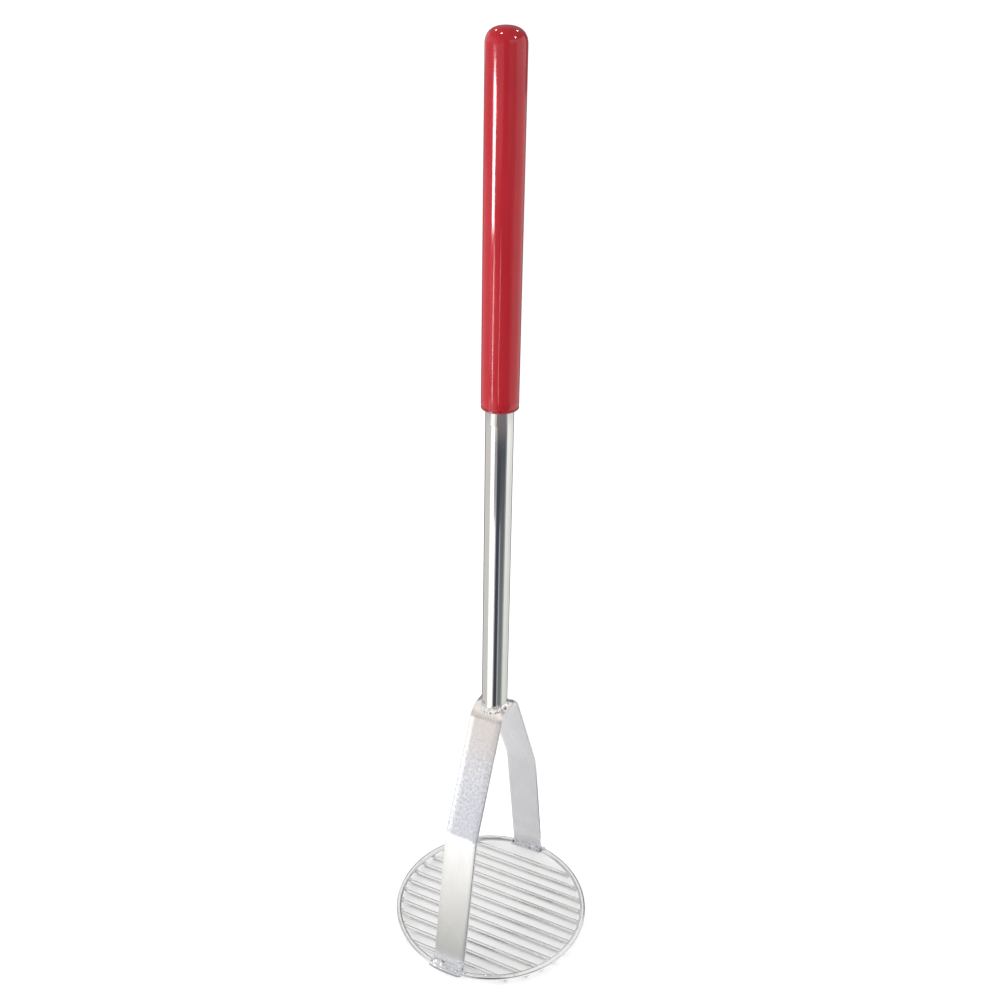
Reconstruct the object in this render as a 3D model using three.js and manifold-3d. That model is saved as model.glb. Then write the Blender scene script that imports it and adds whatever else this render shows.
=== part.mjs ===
// Round-faced masher: a long gripped handle welded to a strap yoke, which carries a ring with a grid of
// parallel wires under it. Millimetres, +Z up the handle, the grid wires run along X and the yoke's two
// legs stand at -Y (front) and +Y (back). The origin is under the middle of the grid, at the plane that
// the masher stands on.
import * as THREE from 'three';
import { mergeVertices } from 'three/addons/utils/BufferGeometryUtils.js';
import Module from 'manifold-3d';

const wasm = await Module();
wasm.setup();

// ---- driving dimensions ----
const OVERALL_HEIGHT = 610;      // standing height, 24 inches
const CLEARANCE = 0.3;           // left between two pieces that are welded or pushed together

const WIRE_DIAMETER = 3.8;       // grid wires
const WIRE_PITCH = 10;           // from wire to wire, so 6.2 mm are open between them
const WIRE_COUNT = 12;
const WIRE_END_RADIUS = 68;      // the wires are cut to this circle, just inside the ring's outer edge
const WIRE_SIDES = 16;

const RING_OUTER_DIAMETER = 140;
const RING_WIRE_DIAMETER = 4.2;
const RING_STEPS = 96;
const RING_WIRE_SIDES = 14;

const STRAP_WIDTH = 23;
const STRAP_THICKNESS = 2.4;
const STRAP_TOP = 189.5;         // height of the yoke's flat top
const FOOT_REACH = 66.8;         // from the axis to the leg's outer face at its foot, on top of the ring
const KNEE_HEIGHT = 109;         // where each leg changes its slant
const KNEE_REACH = 48.7;         // from the axis to the leg's outer face at the knee
const SHOULDER_REACH = 10.8;     // from the axis to the corner that each rounded shoulder replaces
const SHOULDER_RADIUS = 12.5;    // outside bend radii
const KNEE_RADIUS = 14;

const TUBE_DIAMETER = 17.1;
const TUBE_WALL = 1.2;
const TUBE_TOP_GAP = 4;          // between the tube's upper end and the inside of the closed grip

const GRIP_DIAMETER = 22.8;
const GRIP_BOTTOM = 401;
const GRIP_END_WALL = 3;
const GRIP_TOP_RADIUS = 8.6;     // rounding of the closed end
const GRIP_LIP_RADIUS = 1.1;     // rounding of the open end
const ROUND_STEPS = 56;          // facets around the tube and the grip

const TUBE_BEAD_RADIUS = 3.4;    // hollow fillet of the weld between the tube and the strap
const TUBE_BEAD_EDGE = 0.4;      // thickness it keeps at its upper edge
const LEG_BEAD_SIZE = [29, 8, 12];   // the rounded lump of weld at each foot, along X, Y and Z
const LEG_BEAD_REACH = 66.8;     // from the axis to its middle
const LEG_BEAD_STEPS = [32, 20];

// ---- heights and radii that follow from them ----
const wireRadius = WIRE_DIAMETER / 2;
const wireAxisHeight = wireRadius * Math.cos(Math.PI / WIRE_SIDES);   // a facet of each wire lies at z = 0
const gridTop = 2 * wireAxisHeight;
const ringWireRadius = RING_WIRE_DIAMETER / 2;
const ringRadius = (RING_OUTER_DIAMETER - RING_WIRE_DIAMETER) / 2;
const ringHeight = gridTop + CLEARANCE + ringWireRadius;
const ringTop = ringHeight + ringWireRadius;
const legFoot = ringTop + CLEARANCE;
const tubeRadius = TUBE_DIAMETER / 2;
const tubeFoot = STRAP_TOP + CLEARANCE;
const gripRadius = GRIP_DIAMETER / 2;
const gripCeiling = OVERALL_HEIGHT - GRIP_END_WALL;

// ---- finishes ----
const chrome = (roughness) => new THREE.MeshStandardMaterial({ color: 0xc9cbce, metalness: 1, roughness });
const redVinyl = () => new THREE.MeshStandardMaterial({ color: 0xb80f1c, metalness: 0, roughness: 0.22 });

const group = new THREE.Group();
group.name = 'round_faced_masher';

function add(name, geometry, material) {
  const mesh = new THREE.Mesh(geometry, material);
  mesh.name = name;
  group.add(mesh);
  return mesh;
}

// ---- solids for cutting ----
function toSolid(geometry) {
  const bare = geometry.index ? geometry.toNonIndexed() : geometry.clone();
  bare.deleteAttribute('normal');
  bare.deleteAttribute('uv');
  const merged = mergeVertices(bare, 1e-4);
  return new wasm.Manifold(new wasm.Mesh({
    numProp: 3,
    vertProperties: new Float32Array(merged.attributes.position.array),
    triVerts: new Uint32Array(merged.index.array),
  }));
}

function toGeometry(solid) {
  const mesh = solid.getMesh();
  const geometry = new THREE.BufferGeometry();
  geometry.setAttribute('position', new THREE.BufferAttribute(mesh.vertProperties, 3));
  geometry.setIndex(new THREE.BufferAttribute(mesh.triVerts, 1));
  geometry.computeVertexNormals();
  return geometry;
}

// ---- lathes: profiles are [radius, height] pairs, turned about +Z ----
function turned(profile, steps = ROUND_STEPS) {
  const points = profile.map(([radius, height]) => new THREE.Vector2(radius, height));
  return new THREE.LatheGeometry(points, steps).rotateX(Math.PI / 2);
}

// Points of an arc of a profile, from one angle to another in degrees.
function arc(centreRadius, centreHeight, radius, from, to, steps) {
  return Array.from({ length: steps + 1 }, (_, i) => {
    const angle = THREE.MathUtils.degToRad(from + (to - from) * i / steps);
    return [centreRadius + radius * Math.cos(angle), centreHeight + radius * Math.sin(angle)];
  });
}

// ---- grid and ring ----
function gridWire(offset) {
  const length = 2 * Math.sqrt(WIRE_END_RADIUS ** 2 - offset ** 2);
  const wire = new THREE.CylinderGeometry(wireRadius, wireRadius, length, WIRE_SIDES);
  return wire.rotateY(Math.PI / WIRE_SIDES).rotateZ(Math.PI / 2);
}

function faceRing(radius = ringWireRadius) {
  return new THREE.TorusGeometry(ringRadius, radius, RING_WIRE_SIDES, RING_STEPS).translate(0, 0, ringHeight);
}

// ---- yoke ----
// The leans of the two straight stretches of a leg, as reach gained for each millimetre downwards.
const upperSlope = (KNEE_REACH - SHOULDER_REACH) / (STRAP_TOP - KNEE_HEIGHT);
const lowerSlope = (FOOT_REACH - KNEE_REACH) / (KNEE_HEIGHT - legFoot);

// Corners [y, z] of one leg's outer face, which is moved outwards by a distance along its normal.
function strapCorners(outward) {
  const upperLean = Math.atan(upperSlope);
  const lowerLean = Math.atan(lowerSlope);
  const kneeLean = (upperLean + lowerLean) / 2;
  const kneeShift = outward / Math.cos((upperLean - lowerLean) / 2);
  const knee = [KNEE_REACH + kneeShift * Math.cos(kneeLean), KNEE_HEIGHT + kneeShift * Math.sin(kneeLean)];
  const shoulder = [SHOULDER_REACH + outward * (1 - Math.sin(upperLean)) / Math.cos(upperLean),
    STRAP_TOP + outward];
  const foot = [FOOT_REACH + outward / Math.cos(lowerLean), legFoot];
  return { foot, knee, shoulder };
}

// One face of the strap as a list of points from the front foot to the back foot.
function strapFace(outward) {
  const { foot, knee, shoulder } = strapCorners(outward);
  const side = [foot, ...rounded(foot, knee, shoulder, KNEE_RADIUS + outward, 5),
    ...rounded(knee, shoulder, [0, shoulder[1]], SHOULDER_RADIUS + outward, 9)];
  const mirrored = side.map(([y, z]) => [-y, z]).reverse();
  return [...side, ...mirrored].map(([y, z]) => new THREE.Vector2(-y, z));
}

// The arc that rounds corner b of the path a, b, c.
function rounded(a, b, c, radius, steps) {
  const corner = new THREE.Vector2(...b);
  const back = new THREE.Vector2(...a).sub(corner).normalize();
  const ahead = new THREE.Vector2(...c).sub(corner).normalize();
  const half = Math.acos(back.dot(ahead)) / 2;
  const centre = back.clone().add(ahead).normalize().multiplyScalar(radius / Math.sin(half)).add(corner);
  const start = back.multiplyScalar(radius / Math.tan(half)).add(corner).sub(centre);
  const end = ahead.multiplyScalar(radius / Math.tan(half)).add(corner).sub(centre);
  const turn = Math.atan2(start.x * end.y - start.y * end.x, start.dot(end));
  return Array.from({ length: steps + 1 }, (_, i) => {
    const point = start.clone().rotateAround(new THREE.Vector2(), turn * i / steps).add(centre);
    return [point.x, point.y];
  });
}

// Stands an outline drawn in [y, z] up in space, centred on x = 0 and as wide as asked.
function acrossX(outline, width) {
  const slab = new THREE.ExtrudeGeometry(new THREE.Shape(outline), { depth: width, bevelEnabled: false });
  return slab.translate(0, 0, -width / 2).rotateY(Math.PI / 2).rotateX(Math.PI / 2);
}

function yokeStrap(extra = 0) {
  const outer = strapFace(extra);
  const inner = strapFace(-STRAP_THICKNESS - extra).reverse();
  return acrossX([...outer, ...inner], STRAP_WIDTH + 2 * extra);
}

// Everything under the strap's outer face, with the clearance on top.
function underYoke() {
  return acrossX(strapFace(CLEARANCE), 3 * STRAP_WIDTH);
}

// ---- weld beads ----
// A ring with a hollow fillet above, cut to fit over the rounded top of the strap.
function tubeBead() {
  const inner = tubeRadius + CLEARANCE;
  const outer = inner + TUBE_BEAD_EDGE + TUBE_BEAD_RADIUS;
  const top = STRAP_TOP + CLEARANCE + TUBE_BEAD_RADIUS;
  const skirt = top - 3 * TUBE_BEAD_RADIUS;
  const profile = [[inner, skirt], [outer, skirt], ...arc(outer, top, TUBE_BEAD_RADIUS, 270, 180, 6),
    [inner, top], [inner, skirt]];
  return toGeometry(toSolid(turned(profile)).subtract(toSolid(underYoke())));
}

// A lump that wraps the ring and the leg's foot, kept clear of both and of the grid under it.
function legBead(side) {
  const [length, depth, height] = LEG_BEAD_SIZE;
  const lump = new THREE.SphereGeometry(0.5, ...LEG_BEAD_STEPS).rotateX(Math.PI / 2);
  lump.scale(length, depth, height).translate(0, side * LEG_BEAD_REACH, ringHeight + CLEARANCE);
  const floor = new THREE.BoxGeometry(2 * length, 4 * depth, height);
  floor.translate(0, side * LEG_BEAD_REACH, gridTop + CLEARANCE - height / 2);
  const ring = faceRing(ringWireRadius + CLEARANCE);
  return toGeometry([floor, ring, yokeStrap(CLEARANCE)].reduce(
    (bead, cutter) => bead.subtract(toSolid(cutter)), toSolid(lump)));
}

// ---- handle ----
function handleTube() {
  const top = gripCeiling - TUBE_TOP_GAP;
  const bore = tubeRadius - TUBE_WALL;
  return turned([[bore, tubeFoot], [tubeRadius, tubeFoot], [tubeRadius, top], [bore, top], [bore, tubeFoot]]);
}

function handleGrip() {
  const bore = tubeRadius + CLEARANCE;
  const lipCentre = gripRadius - GRIP_LIP_RADIUS;
  const outside = [...arc(lipCentre, GRIP_BOTTOM + GRIP_LIP_RADIUS, GRIP_LIP_RADIUS, -90, 0, 4),
    ...arc(gripRadius - GRIP_TOP_RADIUS, OVERALL_HEIGHT - GRIP_TOP_RADIUS, GRIP_TOP_RADIUS, 0, 90, 10)];
  return turned([[0, gripCeiling], [bore, gripCeiling], [bore, GRIP_BOTTOM], ...outside,
    [0, OVERALL_HEIGHT]]);
}

// ---- assembly ----
for (let i = 0; i < WIRE_COUNT; i += 1) {
  const offset = (i - (WIRE_COUNT - 1) / 2) * WIRE_PITCH;
  const wire = add(`grid_wire_${String(i + 1).padStart(2, '0')}`, gridWire(offset), chrome(0.12));
  wire.position.set(0, offset, wireAxisHeight);
}
add('face_ring', faceRing(), chrome(0.1));
add('yoke_strap', yokeStrap(), chrome(0.24));
add('leg_weld_front', legBead(-1), chrome(0.4));
add('leg_weld_back', legBead(1), chrome(0.4));
add('tube_weld', tubeBead(), chrome(0.35));
add('handle_tube', handleTube(), chrome(0.08));
add('handle_grip', handleGrip(), redVinyl());

export default group;
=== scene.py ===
import math
import random

import bpy
import numpy as np
from mathutils import Matrix, Vector, noise


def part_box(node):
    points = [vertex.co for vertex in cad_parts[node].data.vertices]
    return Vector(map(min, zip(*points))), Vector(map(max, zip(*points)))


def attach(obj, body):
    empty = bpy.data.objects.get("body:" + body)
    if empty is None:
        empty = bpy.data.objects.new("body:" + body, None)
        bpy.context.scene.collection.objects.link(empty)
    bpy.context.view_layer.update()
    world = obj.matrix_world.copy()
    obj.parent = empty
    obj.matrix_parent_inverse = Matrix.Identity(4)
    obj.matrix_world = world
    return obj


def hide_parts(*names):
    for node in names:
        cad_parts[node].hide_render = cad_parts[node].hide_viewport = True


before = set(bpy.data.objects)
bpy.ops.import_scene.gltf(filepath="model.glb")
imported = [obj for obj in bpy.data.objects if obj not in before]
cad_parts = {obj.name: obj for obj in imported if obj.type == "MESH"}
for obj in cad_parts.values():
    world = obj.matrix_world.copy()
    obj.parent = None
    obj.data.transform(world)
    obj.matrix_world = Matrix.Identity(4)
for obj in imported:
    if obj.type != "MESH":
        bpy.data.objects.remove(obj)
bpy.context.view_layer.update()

MM = 0.001

# ---- places and sizes that the frame gives ----
grip_low, grip_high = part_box("handle_grip")
tube_low, tube_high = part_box("handle_tube")
yoke_low, yoke_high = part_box("yoke_strap")
ring_low, ring_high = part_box("face_ring")
WIRE_NODES = sorted(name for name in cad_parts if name.startswith("grid_wire_"))

GRIP_RADIUS = grip_high.x
TUBE_RADIUS = tube_high.x
RING_WIRE_RADIUS = (ring_high.z - ring_low.z) / 2
RING_RADIUS = ring_high.x - RING_WIRE_RADIUS
RING_HEIGHT = (ring_high.z + ring_low.z) / 2
STRAP_HALF_WIDTH = yoke_high.x
STRAP_TOP = yoke_high.z
STRAP_FOOT = yoke_low.z
FOOT_REACH = yoke_high.y

# ---- sizes of the strap and the handle that no box states ----
STRAP_THICKNESS = 2.4 * MM
KNEE_HEIGHT = 109 * MM
KNEE_REACH = 48.7 * MM
KNEE_RADIUS = 14 * MM
SHOULDER_REACH = 10.8 * MM
SHOULDER_RADIUS = 12.5 * MM
TUBE_WALL = 1.2 * MM
GRIP_BORE = TUBE_RADIUS + 0.3 * MM
GRIP_END_WALL = 3 * MM
GRIP_CREASE = 1.6 * MM  # height of the crease above the grip's open end


# ---- mesh helpers ----
def piece(name, points, faces, material, nodes=(), uvs=None):
    """A smooth mesh with one material that rides on the frame and hides the CAD nodes it replaces."""
    mesh = bpy.data.meshes.new(name)
    mesh.from_pydata([tuple(p) for p in points], [], faces)
    if uvs is not None:
        layer = mesh.uv_layers.new(name="surface")
        flat = [uv for face in uvs for uv in face]
        layer.data.foreach_set("uv", np.array(flat, np.float32).ravel())
    mesh.polygons.foreach_set("use_smooth", [True] * len(mesh.polygons))
    mesh.materials.append(material)
    mesh.update()
    place(bpy.data.objects.new(name, mesh), nodes)


def place(obj, nodes=()):
    """Puts a new object in the scene, makes it ride on the frame's root and hides the CAD nodes it
    replaces.
    """
    bpy.context.scene.collection.objects.link(obj)
    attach(obj, "root")
    if nodes:
        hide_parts(*nodes)


def skin(rings, girths, lengths, closed=False):
    """Points, faces and uvs of a surface through rings of points; open ends are capped."""
    count, sides = len(rings), len(rings[0])
    points = [p for ring in rings for p in ring]
    faces, uvs = [], []
    for i in range(count if closed else count - 1):
        k = (i + 1) % count
        for j in range(sides):
            m = (j + 1) % sides
            faces.append((i * sides + j, i * sides + m, k * sides + m, k * sides + j))
            u0, u1, v0, v1 = girths[j], girths[j + 1], lengths[i], lengths[i + 1]
            uvs.append(((u0, v0), (u1, v0), (u1, v1), (u0, v1)))
    if not closed:
        for i, order in ((0, -1), (count - 1, 1)):
            faces.append(tuple(i * sides + j for j in range(sides))[::order])
            uvs.append([(girths[j], lengths[i]) for j in range(sides)][::order])
    return points, faces, uvs


def running_length(points, closed=False):
    """The length run along a path at each of its points, and back at its start when it is closed."""
    total = [0.0]
    ends = list(points[1:]) + ([points[0]] if closed else [])
    for a, b in zip(points, ends):
        total.append(total[-1] + (Vector(b) - Vector(a)).length)
    return total


def turned(profile, steps, swell=None):
    """Rings of a lathe about Z, one for each (radius, height) of the profile, and their girths."""
    rings = []
    for radius, height in profile:
        ring = []
        for j in range(steps):
            angle = 2 * math.pi * j / steps
            r = radius + (swell(angle, height) if swell else 0.0)
            ring.append((r * math.cos(angle), r * math.sin(angle), height))
        rings.append(ring)
    widest = max(radius for radius, _ in profile)
    girths = [2 * math.pi * widest * j / steps for j in range(steps + 1)]
    return rings, girths


def arc(centre, radius, start, end, steps):
    """Profile points on an arc, from one angle to another in degrees."""
    turns = [math.radians(start + (end - start) * i / steps) for i in range(steps + 1)]
    return [(centre[0] + radius * math.cos(t), centre[1] + radius * math.sin(t)) for t in turns]


# ---- material helpers ----
class Shader:
    """A node material with short ways to add the nodes that the finishes below are made of."""

    def __init__(self, name, **settings):
        self.material = bpy.data.materials.new(name)
        self.material.use_nodes = True
        self.tree = self.material.node_tree
        self.bsdf = self.tree.nodes["Principled BSDF"]
        for socket, value in settings.items():
            self.bsdf.inputs[socket.replace("_", " ")].default_value = value

    def node(self, kind, inputs=None, **settings):
        made = self.tree.nodes.new(kind)
        for key, value in settings.items():
            setattr(made, key, value)
        for key, value in (inputs or {}).items():
            if isinstance(value, bpy.types.NodeSocket):
                self.tree.links.new(value, made.inputs[key])
            else:
                made.inputs[key].default_value = value
        return made

    def place(self, scale=(1, 1, 1), source="Object"):
        """The shaded point's place in the object's own axes or on its unrolled surface, scaled."""
        coordinates = self.node("ShaderNodeTexCoord").outputs[source]
        return self.node("ShaderNodeMapping", {"Vector": coordinates, "Scale": scale}).outputs["Vector"]

    def axes(self):
        """The same place as separate outputs X, Y and Z."""
        return self.node("ShaderNodeSeparateXYZ", {0: self.place()}).outputs

    def noise(self, vector, scale, detail=3.0, roughness=0.5):
        inputs = {"Vector": vector, "Scale": scale, "Detail": detail, "Roughness": roughness}
        return self.node("ShaderNodeTexNoise", inputs).outputs["Fac"]

    def specks(self, vector, scale, low, high):
        """Small separate dots, 1 inside and 0 outside."""
        cells = self.node("ShaderNodeTexVoronoi", {"Vector": vector, "Scale": scale})
        return self.scaled(cells.outputs["Distance"], (high, low))

    def scaled(self, value, before, after=(0.0, 1.0)):
        """A value mapped from one range to another and held inside it."""
        inputs = {"Value": value, "From Min": before[0], "From Max": before[1],
                  "To Min": after[0], "To Max": after[1]}
        return self.node("ShaderNodeMapRange", inputs).outputs["Result"]

    def colours(self, value, *stops):
        """A ramp through (position, colour) stops."""
        made = self.node("ShaderNodeValToRGB", {"Fac": value})
        ramp = made.color_ramp
        while len(ramp.elements) < len(stops):
            ramp.elements.new(0.5)
        for element, (position, colour) in zip(ramp.elements, stops):
            element.position = position
            element.color = (*colour, 1.0)
        return made.outputs["Color"]

    def math(self, operation, a, b):
        return self.node("ShaderNodeMath", {0: a, 1: b}, operation=operation).outputs["Value"]

    def mix(self, factor, a, b, blend="MIX"):
        made = self.node("ShaderNodeMix", data_type="RGBA", blend_type=blend)
        for index, value in ((0, factor), (6, a), (7, b)):
            if isinstance(value, bpy.types.NodeSocket):
                self.tree.links.new(value, made.inputs[index])
            else:
                made.inputs[index].default_value = value if index == 0 else (*value, 1.0)
        return made.outputs[2]

    def bump(self, height, distance, strength=1.0, below=None):
        inputs = {"Height": height, "Distance": distance, "Strength": strength}
        if below is not None:
            inputs["Normal"] = below
        return self.node("ShaderNodeBump", inputs).outputs["Normal"]

    def drive(self, **sockets):
        for socket, value in sockets.items():
            self.tree.links.new(value, self.bsdf.inputs[socket.replace("_", " ")])
        return self.material


NOISE_RANGE = (0.3, 0.7)  # where nearly all of a noise texture's values lie


def grip_vinyl():
    """Dipped red vinyl: glossy, slightly uneven in colour, dusty, with painted shade in the crease above
    its lip.
    """
    s = Shader("dipped_red_vinyl", Coat_Weight=0.3, Coat_Roughness=0.03, IOR=1.44)
    place_of = s.place()
    clouds = s.noise(s.place((1, 1, 0.25)), 45, 3)
    colour = s.colours(clouds, (0.3, (0.33, 0.007, 0.014)), (0.5, (0.37, 0.009, 0.017)),
                       (0.72, (0.41, 0.013, 0.021)))
    dust = s.specks(place_of, 520, 0.05, 0.13)
    colour = s.mix(s.math("MULTIPLY", dust, 0.35), colour, (0.21, 0.006, 0.012))
    # Painted shade: a thin dark maroon band at the crease's height above the lip.
    above_crease = s.math("SUBTRACT", s.axes()["Z"], grip_low.z + GRIP_CREASE)
    off_crease = s.math("ABSOLUTE", above_crease, 0.0)
    crease_painted_shade = s.scaled(off_crease, (0.5 * MM, 0.2 * MM), (0.0, 0.8))
    colour = s.mix(crease_painted_shade, colour, (0.07, 0.003, 0.006))
    smears = s.noise(s.place((1, 1, 0.3)), 90, 5, 0.6)
    peel = s.bump(s.noise(place_of, 900, 2), 0.012 * MM)
    skin_normal = s.bump(dust, 0.03 * MM, 0.7, peel)
    return s.drive(Base_Color=colour, Roughness=s.scaled(smears, (0.3, 0.75), (0.07, 0.17)),
                   Normal=skin_normal, Coat_Normal=skin_normal)


def tube_chrome():
    """Bright plate over polished tube: faint lengthwise polishing lines and slow ripples."""
    s = Shader("tube_chrome", Metallic=1.0)
    lines = s.noise(s.place((1, 1, 0.012)), 2600, 4, 0.65)
    haze = s.noise(s.place((1, 1, 0.35)), 60, 4)
    tint = s.colours(haze, (0.3, (0.76, 0.765, 0.75)), (0.55, (0.80, 0.80, 0.79)),
                     (0.75, (0.78, 0.80, 0.82)))
    rough = s.math("ADD", s.scaled(lines, NOISE_RANGE, (0.0, 0.05)),
                   s.scaled(haze, NOISE_RANGE, (0.05, 0.09)))
    ripples = s.bump(s.noise(s.place((1, 1, 0.2)), 110, 2), 0.03 * MM)
    return s.drive(Base_Color=tint, Roughness=rough, Normal=s.bump(lines, 0.0012 * MM, below=ripples))


def wire_chrome():
    """Bright plate over drawn wire: a haze, slight waves and a few dull spots."""
    s = Shader("wire_chrome", Metallic=1.0)
    place_of = s.place()
    haze = s.noise(place_of, 140, 4)
    tint = s.colours(haze, (0.28, (0.74, 0.73, 0.70)), (0.5, (0.80, 0.80, 0.79)),
                     (0.74, (0.76, 0.77, 0.80)))
    spots = s.specks(place_of, 160, 0.08, 0.2)
    tint = s.mix(s.math("MULTIPLY", spots, 0.3), tint, (0.46, 0.40, 0.36))
    rough = s.math("ADD", s.scaled(haze, NOISE_RANGE, (0.15, 0.25)), s.math("MULTIPLY", spots, 0.15))
    waves = s.bump(s.noise(place_of, 420, 3), 0.02 * MM)
    return s.drive(Base_Color=tint, Roughness=rough, Normal=waves)


def strap_chrome():
    """Satin plate over ground strap: grain, sparkle above the front knee, a warmer tint over the top of the
    front leg and rough heated zones.
    """
    sparkle_heights = (KNEE_HEIGHT - 9 * MM, KNEE_HEIGHT + 5 * MM)
    sparkle_depths = (-15 * MM, -26 * MM)
    # Heights and reaches over which the strap turns warmer towards the top of its front leg.
    warmer_top_heights, warmer_top_depths = (146 * MM, 172 * MM), (10 * MM, 0.0)
    heated_heights = (17 * MM, 14 * MM)
    raggedness = 2.5 * MM

    s = Shader("strap_chrome", Metallic=1.0)
    grain = s.noise(s.place((1, 0.04, 1), "UV"), 1300, 5, 0.75)
    clouds = s.noise(s.place((1, 0.5, 1), "UV"), 60, 4)
    mottle = s.noise(s.place((1, 0.8, 1), "UV"), 600, 3, 0.8)
    sparkle = s.noise(s.place((1, 0.7, 1), "UV"), 1500, 2, 0.6)
    spot = s.axes()
    shift = s.scaled(s.noise(s.place(), 420, 3), NOISE_RANGE, (-raggedness, raggedness))
    height = s.math("ADD", spot["Z"], shift)

    tint = s.colours(clouds, (0.3, (0.81, 0.80, 0.83)), (0.55, (0.84, 0.83, 0.865)),
                     (0.75, (0.85, 0.845, 0.885)))
    tint = s.mix(s.scaled(grain, (0.4, 0.7), (0.0, 0.35)), tint, (0.72, 0.715, 0.72))
    speckled = s.mix(s.scaled(mottle, (0.42, 0.62)), (0.93, 0.925, 0.94), (0.68, 0.695, 0.75))
    speckled = s.mix(s.scaled(sparkle, (0.44, 0.62), (0.0, 0.45)), speckled, (0.70, 0.71, 0.75))
    above_knee = s.scaled(height, sparkle_heights)
    front = s.math("MULTIPLY", above_knee, s.scaled(spot["Y"], sparkle_depths))
    tint = s.mix(front, tint, speckled)
    # A warmer tint over the top of the front leg.
    warmer_top = s.math("MULTIPLY", s.scaled(height, warmer_top_heights), s.scaled(spot["Y"], warmer_top_depths))
    tint = s.mix(warmer_top, tint, (0.985, 0.935, 0.865), "MULTIPLY")
    heated = s.scaled(height, heated_heights)
    tint = s.mix(s.math("MULTIPLY", heated, 0.8), tint, (0.70, 0.72, 0.775))

    rough = s.math("ADD", s.scaled(clouds, NOISE_RANGE, (0.20, 0.25)),
                   s.scaled(grain, (0.35, 0.7), (0.0, 0.06)))
    ground = s.bump(grain, 0.0004 * MM)
    satin = s.bump(s.math("MULTIPLY", mottle, front), 0.02 * MM, below=ground)
    pebbles = s.math("MULTIPLY", s.noise(s.place(), 900, 4, 0.6), heated)
    return s.drive(Base_Color=tint, Roughness=rough, Normal=s.bump(pebbles, 0.3 * MM, below=satin))


def weld_chrome():
    """Plate over rough weld metal: pebbled, paler by the tube as a painted highlight, black where its mesh
    holds soot or painted shade.
    """
    s = Shader("weld_chrome", Metallic=1.0)
    pebbles = s.noise(s.place(), 1300, 4, 0.6)
    soot_and_shade = s.node("ShaderNodeAttribute", attribute_name="soot_and_shade").outputs["Fac"]
    tint = s.colours(pebbles, (0.32, (0.60, 0.61, 0.65)), (0.5, (0.78, 0.79, 0.82)),
                     (0.7, (0.90, 0.90, 0.91)))
    # Painted highlight: the plate turns paler towards the tube's weld so that its lumps look brighter.
    tube_painted_highlight = s.scaled(s.axes()["Z"], (30 * MM, 150 * MM), (0.0, 0.9))
    tint = s.mix(tube_painted_highlight, tint, (0.99, 0.975, 0.95))
    # Soot blotches, and painted shade in pits and on undersides, darken the plate.
    tint = s.mix(soot_and_shade, tint, (0.05, 0.05, 0.055))
    rough = s.math("ADD", s.scaled(pebbles, NOISE_RANGE, (0.22, 0.06)), s.math("MULTIPLY", soot_and_shade, 0.4))
    return s.drive(Base_Color=tint, Roughness=rough, Normal=s.bump(pebbles, 0.06 * MM))


# ---- handle ----
def handle_grip():
    """A closed sleeve with a domed end above and a rolled drip edge at its open end."""
    bottom, top = grip_low.z, grip_high.z
    lip, crease_depth, neck_depth = 0.8 * MM, 0.35 * MM, 0.12 * MM
    neck_height, straight_from = 2.1 * MM, 3 * MM
    dome_height, dome_margin, fullness = 9.8 * MM, 2 * MM, 2.45
    flare, flare_height = 0.35 * MM, 1.2 * MM
    unevenness = 0.07 * MM

    outside = arc((GRIP_RADIUS - lip, bottom + lip), lip, -90, 60, 10)
    outside.append((GRIP_RADIUS - crease_depth, bottom + GRIP_CREASE))
    outside.append((GRIP_RADIUS - neck_depth, bottom + neck_height))
    straight = np.linspace(bottom + straight_from, top - dome_height - dome_margin, 60)
    outside += [(GRIP_RADIUS, height) for height in straight]
    for turn in np.radians(np.linspace(0, 88, 26)):
        across, up = math.cos(turn) ** (2 / fullness), math.sin(turn) ** (2 / fullness)
        outside.append((GRIP_RADIUS * across, top - dome_height * (1 - up)))
    ceiling = top - GRIP_END_WALL
    inside = [(GRIP_BORE * share, ceiling) for share in (0.05, 0.6)]
    inside.append((GRIP_BORE, ceiling - 0.5 * MM))
    inside += [(GRIP_BORE, bottom + flare_height), (GRIP_BORE + flare, bottom + 0.1 * MM)]

    def swell(angle, height):
        seed = Vector((1.4 * math.cos(angle), 1.4 * math.sin(angle), 28 * height))
        return unevenness * (noise.noise(seed) - 0.9)

    profile = inside + outside
    rings, girths = turned(profile, 128, swell)
    lengths = running_length([(r, 0, h) for r, h in profile])
    points, faces, uvs = skin(rings, girths, lengths)
    piece("vinyl_grip", points, faces, grip_vinyl(), ["handle_grip"], uvs)


def handle_tube():
    """A plain tube that reaches the strap below and ends inside the grip."""
    foot_gap, edge = 0.25 * MM, 0.3 * MM
    bottom, top = tube_low.z - foot_gap, tube_high.z
    bore = TUBE_RADIUS - TUBE_WALL
    profile = [(bore, bottom), (TUBE_RADIUS - edge, bottom), (TUBE_RADIUS, bottom + edge)]
    profile += [(TUBE_RADIUS, height) for height in np.linspace(bottom + 2 * edge, top - 2 * edge, 40)]
    profile += [(TUBE_RADIUS, top - edge), (TUBE_RADIUS - edge, top), (bore, top), (bore, top - edge)]
    rings, girths = turned(profile, 128)
    lengths = running_length([(r, 0, h) for r, h in profile], closed=True)
    points, faces, uvs = skin(rings, girths, lengths, closed=True)
    piece("plated_tube", points, faces, tube_chrome(), ["handle_tube"], uvs)


# ---- yoke ----
def bend(before, corner, after, radius, steps):
    """Points [y, z] of the arc that rounds a corner of a path."""
    corner = Vector(corner)
    back, ahead = (Vector(before) - corner).normalized(), (Vector(after) - corner).normalized()
    half = back.angle(ahead) / 2
    centre = corner + (back + ahead).normalized() * radius / math.sin(half)
    start = corner + back * radius / math.tan(half) - centre
    end = corner + ahead * radius / math.tan(half) - centre
    turn = math.atan2(start.x * end.y - start.y * end.x, start.dot(end))
    return [centre + Matrix.Rotation(turn * i / steps, 2) @ start for i in range(steps + 1)]


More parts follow.
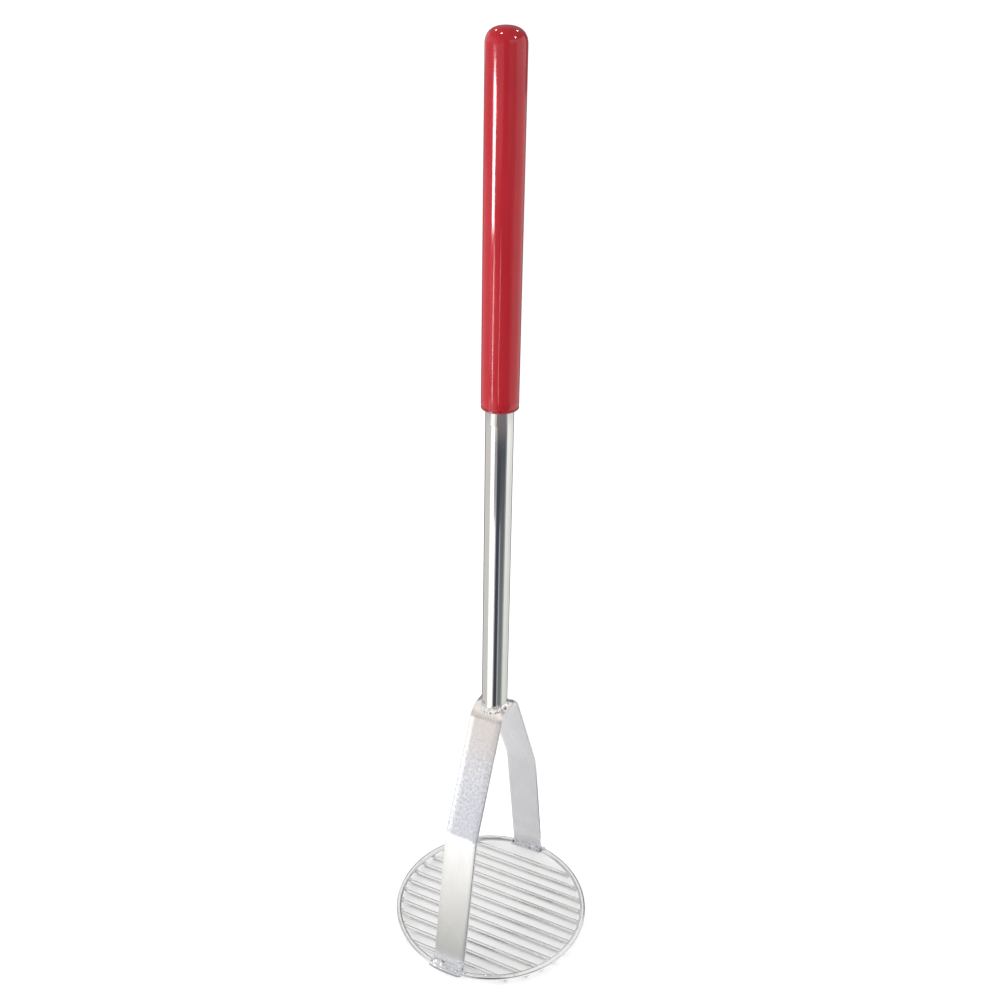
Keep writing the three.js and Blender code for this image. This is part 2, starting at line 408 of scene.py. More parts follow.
def strap_path():
    """Points [y, z] of the strap's outer face, evenly dense, from the front foot to the back foot."""
    spacing = 1.5 * MM
    foot, knee = (FOOT_REACH, STRAP_FOOT), (KNEE_REACH, KNEE_HEIGHT)
    shoulder = (SHOULDER_REACH, STRAP_TOP)
    corners = [Vector(foot), *bend(foot, knee, shoulder, KNEE_RADIUS, 10),
               *bend(knee, shoulder, (0, STRAP_TOP), SHOULDER_RADIUS, 24)]
    front = [Vector((-p.x, p.y)) for p in corners]
    whole = front + [Vector((-p.x, p.y)) for p in reversed(front)]
    dense = []
    for a, b in zip(whole, whole[1:]):
        steps = max(1, round((b - a).length / spacing))
        dense += [a.lerp(b, i / steps) for i in range(steps)]
    return dense + [whole[-1]]


def strap_section():
    """Points (across, depth) around the strap; its outer face rolls off towards its sheared edges."""
    half, thick, edge = STRAP_HALF_WIDTH, STRAP_THICKNESS, 0.4 * MM
    roll, drop = 3.8 * MM, 0.45 * MM  # width and depth of the roll-off
    hollow = 0.12 * MM  # of the narrow sides

    def face(x):
        beyond = max(0.0, abs(x) - (half - edge - roll)) / roll
        return drop * beyond ** 2

    xs = np.linspace(-(half - edge), half - edge, 41)
    outer = [(x, face(x)) for x in xs]
    right = [(half - edge + edge * math.sin(t), drop + edge * (1 - math.cos(t)))
             for t in np.radians((22, 45, 68, 90))]
    right += [(half - hollow * math.sin(t), drop + edge + (thick - drop - 2 * edge) * t / math.pi)
              for t in np.radians((45, 90, 135))]
    right += [(half - edge + edge * math.cos(t), thick - edge + edge * math.sin(t))
              for t in np.radians((0, 30, 60, 90))]
    inner = [(x, thick) for x in xs[::-2][1:-1]]
    left = [(-x, d) for x, d in right[::-1]]
    return outer + right + inner + left


def yoke_strap():
    """The strap swept along its path, with slight waves and press marks in its outer face."""
    wave_depth = 0.05 * MM
    path = strap_path()
    section = strap_section()
    lengths = running_length([(0, p.x, p.y) for p in path])
    tangents = [(b - a).normalized() for a, b in zip(path[:1] + path[:-1], path[1:] + path[-1:])]
    creases = crease_places(path, lengths)
    rings = []
    for p, tangent, length in zip(path, tangents, lengths):
        outward = Vector((-tangent.y, tangent.x))
        dent = sum(depth * math.exp(-(((length - at) / width) ** 2)) for at, depth, width in creases)
        ring = []
        for x, depth in section:
            sunk = depth
            if depth < STRAP_THICKNESS / 2:
                wave = wave_depth * (noise.noise(Vector((40 * x, 9 * length, 3.3))) - 1)
                sunk = depth + dent - wave
            q = p - outward * sunk
            ring.append((x, q.x, q.y))
        rings.append(ring)
    girths = running_length([(x, d, 0) for x, d in section], closed=True)
    points, faces, uvs = skin(rings, girths, lengths)
    piece("yoke", points, faces, strap_chrome(), ["yoke_strap"], uvs)


def crease_places(path, lengths):
    """Press marks (place along the strap, depth, width) at the knees and just below the shoulders."""
    below_shoulder = 181.2 * MM
    marks = []
    for height, depth, width in ((below_shoulder, 0.03 * MM, 2.2 * MM), (KNEE_HEIGHT, 0.05 * MM, 1.6 * MM)):
        for side in (-1, 1):
            leg = [i for i, p in enumerate(path) if p.x * side >= 0]
            near = min(leg, key=lambda i: abs(path[i].y - height))
            marks.append((lengths[near], depth, width))
    return marks


def shoulder_turn():
    """The angle that each shoulder bends the strap through, in radians."""
    lean = math.atan((KNEE_REACH - SHOULDER_REACH) / (STRAP_TOP - KNEE_HEIGHT))
    return math.pi / 2 - lean


# ---- ring and grid ----
def face_ring(material):
    """The round ring, its wire thinner here and there by hundredths of a millimetre."""
    turns, sides = 288, 32
    thinning = 0.02 * MM
    rings = []
    for i in range(turns):
        angle = 2 * math.pi * i / turns
        ring = []
        for j in range(sides):
            roll = 2 * math.pi * j / sides
            seed = Vector((6 * math.cos(angle), 6 * math.sin(angle), 0.5 * roll))
            radius = RING_WIRE_RADIUS - thinning * (1 + noise.noise(seed))
            reach = RING_RADIUS + radius * math.cos(roll)
            height = RING_HEIGHT + radius * math.sin(roll)
            ring.append((reach * math.cos(angle), reach * math.sin(angle), height))
        rings.append(ring)
    girths = [2 * math.pi * RING_WIRE_RADIUS * j / sides for j in range(sides + 1)]
    lengths = [2 * math.pi * RING_RADIUS * i / turns for i in range(turns + 1)]
    points, faces, uvs = skin(rings, girths, lengths, closed=True)
    piece("ring", points, faces, material, ["face_ring"], uvs)


def grid_wire(node, material, draw):
    """A round wire with sheared ends, bowed by a hair's breadth as drawn wire is."""
    low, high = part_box(node)
    radius = (high.z - low.z) / 2
    middle_y, middle_z = (low.y + high.y) / 2, (low.z + high.z) / 2
    half = high.x
    chamfer, sides = 0.45 * MM, 28
    tip, rim = 0.72, 0.93  # shares of the radius at a cut end and halfway up its chamfer
    most_bow, most_slant = 0.18, 0.22  # mm; slope of a sheared end
    stops = [(-half, tip), (-half + chamfer / 2, rim), (-half + chamfer, 1.0)]
    stops += [(x, 1.0) for x in np.linspace(-half + 3 * MM, half - 3 * MM, 48)]
    stops += [(half - chamfer, 1.0), (half - chamfer / 2, rim), (half, tip)]
    bow = draw.uniform(-most_bow, most_bow) * MM
    slant = [draw.uniform(-most_slant, most_slant) for _ in range(2)]
    rings = []
    for x, share in stops:
        centre_y = middle_y + bow * math.cos(math.pi * x / (2 * half))
        end = 0.0
        if abs(x) > half - 2 * chamfer:
            end = slant[0] if x < 0 else slant[1]
        ring = []
        for j in range(sides):
            roll = 2 * math.pi * j / sides
            across, up = radius * share * math.cos(roll), radius * share * math.sin(roll)
            shear = -abs(end) * (across * math.copysign(1, end) + radius) * math.copysign(1, x)
            ring.append((x + shear, centre_y + across, middle_z + up))
        rings.append(ring[::-1])
    girths = [2 * math.pi * radius * j / sides for j in range(sides + 1)]
    lengths = [x + half for x, _ in stops]
    points, faces, uvs = skin(rings, girths, lengths)
    number = node.rsplit("_", 1)[1]
    piece(f"wire_{number}", points, faces, material, [node], uvs)


# ---- welds ----
# Blotches of soot on a bead: how fine they are, the noise value they start at, the most they hold.
SOOT_SCALE, SOOT_ONSET, MOST_SOOT = 620, 0.25, 0.8
# Painted shade on a bead's underside: the most of it, and the height over which it fades out.
MOST_UNDERSIDE_SHADE, UNDERSIDE_SHADE_FADE = 0.6, 1.0 * MM
# A pit: its depth as a share of its radius, and how much painted shade it holds.
PIT_DEPTH, PIT_SHADE = 0.9, 1.6


def ball(centre, radii, turn=0.0, sides=20, rows=12):
    """Points and faces of an ellipsoid, turned about Z."""
    points, faces = [], []
    for i in range(1, rows):
        tilt = math.pi * i / rows
        for j in range(sides):
            angle = 2 * math.pi * j / sides
            p = Vector((radii[0] * math.sin(tilt) * math.cos(angle),
                        radii[1] * math.sin(tilt) * math.sin(angle),
                        radii[2] * math.cos(tilt)))
            points.append(Matrix.Rotation(turn, 3, "Z") @ p + Vector(centre))
    top, bottom = len(points), len(points) + 1
    points += [Vector(centre) + Vector((0, 0, radii[2])), Vector(centre) - Vector((0, 0, radii[2]))]
    for j in range(sides):
        k = (j + 1) % sides
        faces.append((top, j, k))
        faces.append((bottom, (rows - 2) * sides + k, (rows - 2) * sides + j))
        for i in range(rows - 2):
            a, b = i * sides, (i + 1) * sides
            faces.append((a + j, b + j, b + k, a + k))
    return points, faces


def melted(name, solids, voxel, smoothing):
    """One mesh of overlapping solids melted into a single skin and smoothed."""
    points, faces = [], []
    for some_points, some_faces in solids:
        start = len(points)
        points += list(some_points)
        faces += [tuple(i + start for i in face) for face in some_faces]
    mesh = bpy.data.meshes.new(name + "_rough")
    mesh.from_pydata([tuple(p) for p in points], [], faces)
    rough = bpy.data.objects.new(name + "_rough", mesh)
    bpy.context.scene.collection.objects.link(rough)
    melt = rough.modifiers.new("melt", "REMESH")
    melt.mode, melt.voxel_size = "VOXEL", voxel
    soften = rough.modifiers.new("soften", "SMOOTH")
    soften.factor, soften.iterations = 0.5, smoothing
    graph = bpy.context.evaluated_depsgraph_get()
    result = bpy.data.meshes.new_from_object(rough.evaluated_get(graph))
    bpy.data.objects.remove(rough)
    result.name = name
    return result


def fused(name, node, material, solids, voxel, smoothing, lumps, pits, grime, dark_below=0.0):
    """A weld bead: solids melted together, then made lumpy, pitted and sooty inside its CAD box, with
    painted shade in its pits.

    Lumps are (size, fineness) and pits are (centre, radius); painted shade darkens the underside below
    dark_below.
    """
    mesh = melted(name, solids, voxel, smoothing)
    low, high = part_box(node)
    # This attribute holds soot blotches and painted shade in pits and on the underside.
    soot_and_shade = mesh.attributes.new("soot_and_shade", "FLOAT", "POINT")
    moved, dark = [], []
    for vertex in mesh.vertices:
        place_of, normal = vertex.co.copy(), vertex.normal.copy()
        swell = sum(size * noise.noise(place_of * scale) for size, scale in lumps)
        black = max(0.0, min(MOST_SOOT, grime * noise.noise(place_of * SOOT_SCALE) - SOOT_ONSET))
        # Painted shade on the underside, fading out upwards.
        black = max(black, min(MOST_UNDERSIDE_SHADE, (dark_below - place_of.z) / UNDERSIDE_SHADE_FADE))
        # Each pit sinks the skin and holds painted shade.
        for centre, radius in pits:
            near = math.exp(-(((place_of - Vector(centre)).length / radius) ** 2))
            swell -= PIT_DEPTH * radius * near
            black = max(black, min(1.0, PIT_SHADE * near))
        spot = place_of + normal * swell
        moved += [min(max(c, a), b) for c, a, b in zip(spot, low, high)]
        dark.append(black)
    mesh.vertices.foreach_set("co", moved)
    soot_and_shade.data.foreach_set("value", dark)
    mesh.polygons.foreach_set("use_smooth", [True] * len(mesh.polygons))
    mesh.materials.clear()
    mesh.materials.append(material)
    mesh.update()
    place(bpy.data.objects.new(name, mesh), [node])


def foot_plate(side, draw):
    """Weld metal that carries a leg's faces down around the ring; its section is (reach, height) in mm."""
    section = ((65.8, 12.3), (67.2, 10.4), (68.7, 8.2), (70.1, 6.2), (70.7, 4.9), (69.6, 4.1), (64.8, 4.2),
               (63.5, 6.0), (63.5, 8.3), (64.4, 10.4))
    flare_top, flare_fall = 12.2, 8  # mm: the left edge flares from this height, over this fall
    middle_reach, middle_height = 67, 7.5  # mm: the point that the section shrinks towards at its ends
    left_shrink, right_shrink = 0.1, 0.3
    overhang, left_flare, unevenness = 0.2, 2.6, 0.1  # mm
    sag_share = 0.7  # how far the lower part follows the ring's curve
    steps = 26
    right = STRAP_HALF_WIDTH + overhang * MM
    rings = []
    for i in range(steps + 1):
        shrink = left_shrink if i < steps / 2 else right_shrink
        end = 1 - shrink * abs(2 * i / steps - 1) ** 8
        ring = []
        for reach, height in section:
            lower = (flare_top - height) / flare_fall
            left = -STRAP_HALF_WIDTH - (overhang + left_flare * lower) * MM
            x = left + (right - left) * i / steps
            sag = RING_RADIUS - math.sqrt(RING_RADIUS ** 2 - x ** 2)
            spread = middle_reach + (reach - middle_reach) * end + draw.uniform(-unevenness, unevenness)
            z = (middle_height + (height - middle_height) * end) * MM
            ring.append((x, side * (spread * MM - sag_share * sag * lower), z))
        rings.append(ring if side < 0 else ring[::-1])
    sides = len(section)
    points, faces, _ = skin(rings, [0.0] * (sides + 1), [0.0] * (steps + 1))
    return points, faces


def leg_weld(name, node, side, material, draw):
    """Weld metal that wraps the ring and runs up both faces of a leg's foot."""
    solids = [foot_plate(side, draw)]
    solids.append(ball((13.1 * MM, side * 67.0 * MM, 8.3 * MM), (1.3 * MM, 1.6 * MM, 1.5 * MM)))
    # Sixteen flat dabs in turn on the inner face and on the slope of the outer one, in mm.
    lowest, highest = 6.0, 11.6
    inner_reach, outer_reach, slope, sunk = 64.0, 66.2, 0.66, 0.35
    for i in range(16):
        outer = i % 2
        x = draw.uniform(-12.4, 10.6) * MM
        z = draw.uniform(lowest, highest)
        reach = (outer_reach + (highest - z) * slope) if outer else inner_reach
        size = draw.uniform(0.6, 1.2)
        radii = (1.6 * size * MM, 0.3 * size * MM, size * MM)
        height = z if outer else 8.0 + 0.2 * z
        solids.append(ball((x, side * (reach - sunk) * MM, height * MM), radii))
    lumps = ((0.07 * MM, 460), (0.04 * MM, 1100))
    # Pits as (x, reach, height, radius) in mm: on the outer face, at its ends and on the inner face.
    pits = [((x * MM, side * reach * MM, z * MM), r * MM) for x, reach, z, r in
            ((-8.6, 66.9, 11.2, 0.4), (-4.4, 67.0, 11.2, 0.5), (-3.2, 67.2, 10.8, 0.55),
             (-12.4, 67.6, 8.6, 0.6), (14.3, 67.6, 8.6, 0.6),
             (-11.9, 63.6, 8.6, 1.0), (11.8, 63.6, 8.4, 1.1), (2.5, 63.5, 7.4, 0.6))]
    # Painted shade darkens these welds below 6.3 mm.
    fused(name, node, material, solids, 0.36 * MM, 4, lumps, pits, grime=0.2, dark_below=6.3 * MM)


def strap_height(y):
    """The height of the strap's outer face under the tube's weld."""
    flat = SHOULDER_REACH - SHOULDER_RADIUS * math.tan(shoulder_turn() / 2)
    beyond = max(0.0, abs(y) - flat)
    return STRAP_TOP - (SHOULDER_RADIUS - math.sqrt(max(0.0, SHOULDER_RADIUS ** 2 - beyond ** 2)))


def tube_weld(material, draw):
    """A thin hollow fillet around the tube's foot, built up into lumps in front, on the rounded strap."""
    steps, rows, lump_count = 120, 12, 22
    front = math.radians(-66)
    least_reach, front_reach, reach_unevenness = 1.3 * MM, 0.9 * MM, 0.35 * MM
    steepness, top_unevenness = 1.35, 0.3 * MM
    into_tube, into_strap, overlap = 0.15 * MM, 0.2 * MM, 0.4 * MM

    def rim(angle):
        return TUBE_RADIUS + least_reach + front_reach * max(0.0, math.cos(angle - front))

    def circle(radius, height):
        turns = [2 * math.pi * j / steps for j in range(steps)]
        return [(radius * math.cos(turn), radius * math.sin(turn), height) for turn in turns]

    rings = []
    for i in range(rows + 1):
        quarter = math.pi / 2 * i / rows
        ring = []
        for j in range(steps):
            angle = 2 * math.pi * j / steps
            out = Vector((math.cos(angle), math.sin(angle), 0))
            reach = rim(angle) + reach_unevenness * noise.noise(out * 2.2) - TUBE_RADIUS
            top = steepness * reach + top_unevenness * noise.noise(out * 3.7 + Vector((5, 1, 0)))
            spot = out * (TUBE_RADIUS - into_tube + reach * (1 - math.cos(quarter)))
            ground = strap_height(spot.y) - into_strap
            ring.append((spot.x, spot.y, ground + (STRAP_TOP + top - ground) * (1 - math.sin(quarter))))
        rings.append(ring)
    rings.append([(x, y, z - 1.2 * MM) for x, y, z in rings[-1]])
    rings.append(circle(TUBE_RADIUS - overlap, STRAP_TOP - 2 * MM))
    rings.append(circle(TUBE_RADIUS - overlap, STRAP_TOP + 1.2 * MM))
    shell, shell_faces, _ = skin(rings, [0.0] * (steps + 1), [0.0] * (len(rings) + 1), closed=True)
    solids = [(shell, [face[::-1] for face in shell_faces])]
    for _ in range(lump_count):
        angle = math.radians(draw.uniform(-124, -14))
        spot = Vector((math.cos(angle), math.sin(angle), 0)) * (rim(angle) - draw.uniform(-0.3, 0.7) * MM)
        spot.z = strap_height(spot.y) + draw.uniform(0.1, 0.7) * MM
        solids.append(ball(spot, [draw.uniform(0.8, 1.35) * MM for _ in range(3)]))
    # Pits as degrees around the tube, then reach beyond it, height over the strap and radius in mm.
    pits = []
    for degrees, beyond, height, radius in ((-57, 0.6, 1.2, 1.0), (-38, 0.9, 1.0, 0.6),
                                            (-20, 2.6, 0.2, 1.0)):
        angle = math.radians(degrees)
        spot = Vector((math.cos(angle), math.sin(angle), 0)) * (TUBE_RADIUS + beyond * MM)
        pits.append((spot + Vector((0, 0, STRAP_TOP + height * MM)), radius * MM))
    lumps = ((0.10 * MM, 420),)
    fused("tube_weld_bead", "tube_weld", material, solids, 0.24 * MM, 1, lumps, pits, grime=1.0)


def spot_welds(material, draw):
    """A squeezed nugget between the ring and each end of each wire."""
    inward, unevenness = 0.985, 0.18  # share of the ring's radius, mm
    for node in WIRE_NODES:
        low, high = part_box(node)
        y = (low.y + high.y) / 2
        x = math.sqrt(RING_RADIUS ** 2 - y ** 2)
        for side, word in ((-1, "left"), (1, "right")):
            centre = (side * x * inward, y * inward, high.z + 0.1 * MM)
            radii = (draw.uniform(1.9, 2.5) * MM, draw.uniform(1.5, 1.9) * MM, draw.uniform(0.9, 1.2) * MM)
            points, faces = ball(centre, radii, math.atan2(y, side * x))
            shaken = []
            for p in points:
                away = (p - Vector(centre)).normalized()
                shaken.append(p + away * unevenness * MM * noise.noise(p * 900))
            name = f"spot_weld_{node.rsplit('_', 1)[1]}_{word}"
            piece(name, shaken, faces, material)


# ---- studio ----
# Azimuths and elevations are degrees; azimuth 0 is the front (-Y) and turns towards +X. The cards and
# lamps are seen only in reflections.
CAMERA_AZIMUTH = 25.65
CARD_LIFT = 1.5 * MM
WALL_DISTANCE = 3.0
LAMP_HEIGHT = 0.655
WHITE = (1.5, 1.5, 1.5)
WARM = (0.70, 0.68, 0.65)
NAVY = (0.070, 0.074, 0.100)
# Cards on the floor: name, azimuths, reaches, colour at the near end, colour at the far end.
FLOOR_CARDS = (
    ("left", (-114, -44), (0.20, 0.95), WARM, (0.74, 0.71, 0.66)),
    ("left_rear_dark", (-146, -114), (0.10, 6.0), (0.16, 0.16, 0.18), (0.3, 0.3, 0.32)),
    ("foot_glow", (-44, 3), (0.085, 0.30), (0.51, 0.52, 0.47), (1.48, 1.46, 1.36)),
    ("front_white", (-44, 3), (0.30, 0.64), WHITE, WHITE),
    ("front_white_far", (-37, -10), (0.64, 1.02), WHITE, WHITE),
    ("front_grey_far", (-10, 12), (0.64, 0.895), (0.42, 0.41, 0.41), (0.36, 0.35, 0.35)),
    ("front_fade", (3, 12), (0.085, 0.64), (0.40, 0.40, 0.42), (0.60, 0.59, 0.61)),
    ("navy", (12, 39), (0.085, 0.895), (0.06, 0.06, 0.07), NAVY),
    ("stripe", (39, 49), (0.085, 0.62), (0.42, 0.44, 0.48), (0.40, 0.43, 0.50)),
    ("stripe_far", (39, 49), (0.62, 0.895), (0.11, 0.12, 0.15), NAVY),
    ("green_grey", (49, 80), (0.085, 0.895), (0.27, 0.29, 0.27), (0.075, 0.085, 0.11)),
    ("mid_grey", (80, 86), (0.085, 1.02), (0.55, 0.56, 0.55), (0.20, 0.20, 0.21)),
    ("mid_grey_right", (86, 92), (0.085, 0.95), (0.55, 0.56, 0.55), (0.20, 0.20, 0.21)),
    ("right", (92, 127), (0.22, 0.95), (0.82, 0.83, 0.79), (1.12, 1.11, 1.08)),
    ("right_rear", (127, 166), (0.22, 0.95), (0.74, 0.75, 0.73), (0.95, 0.95, 0.93)),
    ("near_right", (92, 190), (0.085, 0.163), (0.24, 0.24, 0.25), (0.28, 0.28, 0.28)),
    ("rim_white", (115, 190), (0.163, 0.20), (1.3, 1.3, 1.3), (1.3, 1.3, 1.3)),
    ("near_right_far", (92, 190), (0.20, 0.22), (0.30, 0.30, 0.30), (0.30, 0.30, 0.30)),
    ("right_rear_dark", (166, 198), (0.22, 6.0), (0.20, 0.21, 0.22), (0.32, 0.33, 0.35)),
    ("under_grip_left", (-10, 5), (0.895, 1.02), (0.74, 0.72, 0.70), (0.74, 0.70, 0.70)),
    ("under_grip_mid", (5, 12), (0.895, 1.02), (0.40, 0.38, 0.37), (0.40, 0.34, 0.34)),
    ("under_grip", (12, 80), (0.895, 1.02), (0.22, 0.215, 0.22), (0.24, 0.18, 0.18)),
    ("far_front_left", (-13, 4), (1.02, 6.0), (0.38, 0.38, 0.40), (0.38, 0.38, 0.40)),
    ("far_front", (4, 72), (1.02, 6.0), (0.20, 0.20, 0.22), (0.22, 0.22, 0.24)),
    ("far_front_right", (72, 86), (1.02, 6.0), (0.42, 0.42, 0.43), (0.42, 0.42, 0.43)),
    ("far_left", (-114, -37), (0.95, 6.0), (0.60, 0.60, 0.61), (0.6, 0.6, 0.62)),
    ("far_left_inner", (-37, -13), (1.02, 6.0), (0.60, 0.60, 0.61), (0.6, 0.6, 0.62)),
    ("far_right", (86, 166), (0.95, 6.0), (0.80, 0.80, 0.79), (0.85, 0.85, 0.85)),
)
# Cards around the masher: name, azimuths, elevations, colour.
WALL_CARDS = (
    ("room_low", (-114, -26), (0, 2.5), (0.45, 0.45, 0.47)),
    ("room_left", (-114, -48), (2.5, 13), (0.45, 0.45, 0.47)),
    ("room_bright", (-48, -26), (2.5, 13), (1.8, 1.8, 1.8)),
    ("room_high", (-114, -26), (13, 44), (0.70, 0.68, 0.66)),
    ("room_blue", (-26, 14), (0, 10.5), (0.70, 0.725, 0.785)),
    ("room_warm", (-26, 14), (10.5, 17), (0.92, 0.885, 0.855)),
    ("room_dark", (-26, 14), (17, 44), (0.50, 0.50, 0.52)),
    ("room_mid", (14, 42), (0, 36), (0.22, 0.22, 0.23)),
    ("room_dim", (14, 42), (36, 50), (0.16, 0.16, 0.18)),
    ("room_right", (42, 80), (0, 22), (0.45, 0.45, 0.46)),
    ("rear_dark", (150, 235), (4, 34), (0.18, 0.18, 0.20)),
)
# Upright strips beside the handle: name, azimuths, reach, heights, strength.
STRIP_CARDS = (
    ("window", (-40, -24), 0.40, (0.415, 0.560), 28),
    ("slit_left", (-20, -17), 0.06, (0.387, 0.50), 14),
    ("slit_right", (14, 16), 0.06, (0.387, 0.50), 6),
)
# Level cards: name, azimuths, reaches, height, colour.
LEVEL_CARDS = (
    ("slit_flag_white", (-42, -9), (0.03, 0.08), 0.383, (1.25, 1.23, 1.2)),
    ("slit_flag_mid", (-9, 5), (0.03, 0.08), 0.383, (0.72, 0.68, 0.66)),
    ("slit_flag_dark", (5, 30), (0.03, 0.08), 0.383, (0.22, 0.20, 0.20)),
    ("flag_outer", (-46, -14), (0.215, 0.405), 0.388, (0.84, 0.81, 0.78)),
    ("flag_inner", (-46, -14), (0.12, 0.215), 0.388, (1.0, 0.98, 0.96)),
    ("canopy", (0, 360), (0.0, 0.14), 0.665, (0.30, 0.30, 0.31)),
)
# Round lamps over the grip's dome: azimuth, reach, radius, strength.
LAMPS = (
    (-104, 0.042, 2.8 * MM, 80),
    (-20, 0.028, 2.8 * MM, 80),
    (151, 0.041, 2.8 * MM, 80),
    (76, 0.071, 4.2 * MM, 110),
)


def glowing(name, colour, strength=1.0):
    """A material that only shines."""
    material = bpy.data.materials.new(name)
    material.use_nodes = True
    tree = material.node_tree
    tree.nodes.remove(tree.nodes["Principled BSDF"])
    light = tree.nodes.new("ShaderNodeEmission")
    light.inputs["Color"].default_value = (*colour, 1.0)
    light.inputs["Strength"].default_value = strength
    tree.links.new(light.outputs["Emission"], tree.nodes["Material Output"].inputs["Surface"])
    return material


def stage_mesh(name, points, faces, material):
    """A mesh that belongs to the studio and not to the masher."""
    mesh = bpy.data.meshes.new(name)
    mesh.from_pydata(points, [], faces)
    mesh.materials.append(material)
    obj = bpy.data.objects.new(name, mesh)
    bpy.context.scene.collection.objects.link(obj)
    return obj


def card_mesh(name, points, faces, material):
    """A studio mesh that only reflections see."""
    card = stage_mesh(name, points, faces, material)
    card.visible_camera = card.visible_diffuse = card.visible_shadow = card.visible_transmission = False
    return card


def direction(azimuth, elevation):
    """Unit vector towards an azimuth and an elevation."""
    a, e = math.radians(azimuth), math.radians(elevation)
    return Vector((math.sin(a) * math.cos(e), -math.cos(a) * math.cos(e), math.sin(e)))


def around(azimuth, reach, height=0.0):
    """The point at a reach from the handle's axis and a height above the floor."""
    return direction(azimuth, 0) * reach + Vector((0, 0, height))


def between(ends, share):
    """The value at a share of the way from one end to the other."""
    return ends[0] + (ends[1] - ends[0]) * share


def wall_card(name, azimuths, elevations, colour):
    """A card curved around the masher."""
    across, up = 24, 8
    points = []
    for i in range(across + 1):
        for j in range(up + 1):
            towards = direction(between(azimuths, i / across), between(elevations, j / up))
            points.append(towards * WALL_DISTANCE)
    step = up + 1
    faces = [(i * step + j, (i + 1) * step + j, (i + 1) * step + j + 1, i * step + j + 1)
             for i in range(across) for j in range(up)]
    card_mesh(name, points, faces, glowing(name, colour))


def floor_card(name, azimuths, reaches, near, far):
    """A card on the floor, fading from a near to a far colour."""
    across, out = 24, 6
    points, shades = [], []
    for i in range(across + 1):
        for j in range(out + 1):
            share = j / out
            points.append(around(between(azimuths, i / across), between(reaches, share), CARD_LIFT))
            shades.append([between(ends, share) for ends in zip(near, far)] + [1.0])
    step = out + 1
    faces = [(i * step + j, i * step + j + 1, (i + 1) * step + j + 1, (i + 1) * step + j)
             for i in range(across) for j in range(out)]
    card = card_mesh(name, points, faces, glowing(name, (1, 1, 1)))
    shade = card.data.attributes.new("shade", "FLOAT_COLOR", "POINT")
    shade.data.foreach_set("color", np.array(shades, np.float32).ravel())
    tree = card.data.materials[0].node_tree
    source = tree.nodes.new("ShaderNodeAttribute")
    source.attribute_name = "shade"
    tree.links.new(source.outputs["Color"], tree.nodes["Emission"].inputs["Color"])


def strip_card(name, azimuths, reach, heights, strength):
    """An upright glowing strip with a pointed top."""
    low, high = heights
    outline = ((0, low), (1, low), (1, high - 0.03), (0.4, high), (0, high - 0.022))
    points = [around(between(azimuths, share), reach, height) for share, height in outline]
    card_mesh(name, points, [tuple(range(len(points)))], glowing(name, (1.0, 0.97, 1.0), strength))


def level_card(name, azimuths, reaches, height, colour):
    """A level card, part of a flat ring around the handle."""
    across = 24
    points = [around(between(azimuths, i / across), reach, height)
              for i in range(across + 1) for reach in reaches]
    faces = [(2 * i, 2 * i + 1, 2 * i + 3, 2 * i + 2) for i in range(across)]
    card_mesh(name, points, faces, glowing(name, colour))


def lamp_dot(name, centre, radius, strength):
    """A small round lamp that lies level."""
    sides = 12
    points = [centre + direction(360 / sides * i, 0) * radius for i in range(sides)]
    card_mesh(name, points, [tuple(range(sides))], glowing(name, (1, 0.95, 0.95), strength))


def key_light():
    """One soft lamp, high on the left of the camera, with no reflection of its own."""
    distance, size, aim = 1.5, 0.9, Vector((0, 0, 0.25))
    data = bpy.data.lights.new("key", "AREA")
    data.shape, data.size, data.size_y = "RECTANGLE", size, size
    data.energy, data.color = 9, (1.0, 0.985, 0.96)
    lamp = bpy.data.objects.new("key", data)
    bpy.context.scene.collection.objects.link(lamp)
    lamp.location = direction(-52, 40) * distance
    lamp.rotation_euler = (aim - lamp.location).to_track_quat("-Z", "Y").to_euler()
    lamp.visible_camera = lamp.visible_glossy = False


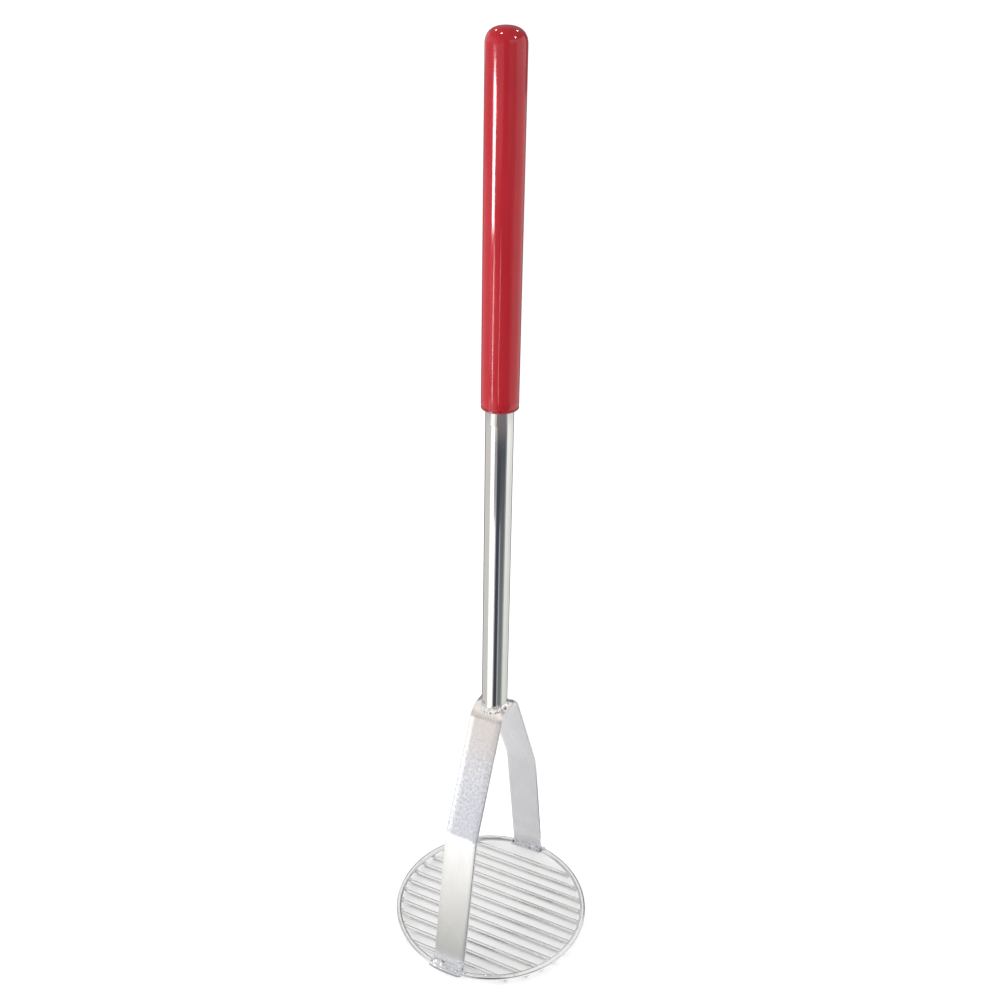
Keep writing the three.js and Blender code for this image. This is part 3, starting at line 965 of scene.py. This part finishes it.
def floor():
    """A pale floor with a painted shadow of the grid, darker where the camera sees it through the ring."""
    radius, sides = 14.0, 64
    # Painted shadow of the grid: less colour and glow inside the ring's outline as the camera sees it.
    grid_shadow_centre = around(180 + CAMERA_AZIMUTH, RING_HEIGHT)
    grid_shadow_edge = (65 * MM, 69 * MM)
    s = Shader("pale_floor", Roughness=0.9, Specular_IOR_Level=0.1, Emission_Color=(1.0, 1.0, 1.0, 1.0))
    reach = s.node("ShaderNodeVectorMath", {0: s.place(), 1: grid_shadow_centre}, operation="DISTANCE")
    from_centre = reach.outputs["Value"]
    pale = s.drive(Base_Color=s.scaled(from_centre, grid_shadow_edge, (0.46, 0.60)),
                   Emission_Strength=s.scaled(from_centre, grid_shadow_edge, (0.40, 0.47)))
    points = [around(360 * i / sides, radius) for i in range(sides)]
    stage_mesh("floor", points, [tuple(range(sides))], pale)


def studio():
    """White world, floor, one lamp, and cards and small lamps for the chrome and the vinyl to reflect."""
    world = bpy.data.worlds.new("studio")
    bpy.context.scene.world = world
    world.use_nodes = True
    background = world.node_tree.nodes["Background"]
    background.inputs["Color"].default_value = (1.0, 1.0, 1.0, 1.0)
    background.inputs["Strength"].default_value = 1.04
    bpy.context.scene.view_settings.view_transform = "Standard"
    floor()
    key_light()
    for build, cards in ((strip_card, STRIP_CARDS), (level_card, LEVEL_CARDS)):
        for card in cards:
            build(*card)
    for number, (azimuth, reach, radius, strength) in enumerate(LAMPS):
        lamp_dot(f"lamp_{number}", around(azimuth, reach, LAMP_HEIGHT), radius, strength)
    for build, cards in ((floor_card, FLOOR_CARDS), (wall_card, WALL_CARDS)):
        for card in cards:
            build(*card)


# ---- camera ----
def camera():
    """Stands above the masher's front, turned towards +X, and looks down at the handle."""
    heading, pitch, roll = 25.55, 26.5, 1.085
    distance, height = 0.6303, 0.6545
    data = bpy.data.cameras.new("camera")
    data.sensor_width, data.lens = 36.0, 41.4
    data.clip_start, data.clip_end = 0.01, 60.0
    eye = bpy.data.objects.new("camera", data)
    bpy.context.scene.collection.objects.link(eye)
    eye.matrix_world = (Matrix.Translation(around(CAMERA_AZIMUTH, distance, height))
                        @ Matrix.Rotation(math.radians(heading), 4, "Z")
                        @ Matrix.Rotation(math.radians(90 - pitch), 4, "X")
                        @ Matrix.Rotation(math.radians(roll), 4, "Z"))
    bpy.context.scene.camera = eye


# ---- assembly ----
camera()
studio()
draw = random.Random(24)
handle_grip()
handle_tube()
yoke_strap()
plated_wire = wire_chrome()
face_ring(plated_wire)
for wire_node in WIRE_NODES:
    grid_wire(wire_node, plated_wire, draw)
plated_weld = weld_chrome()
leg_weld("front_foot_weld", "leg_weld_front", -1, plated_weld, draw)
leg_weld("back_foot_weld", "leg_weld_back", 1, plated_weld, draw)
tube_weld(plated_weld, draw)
spot_welds(plated_weld, draw)
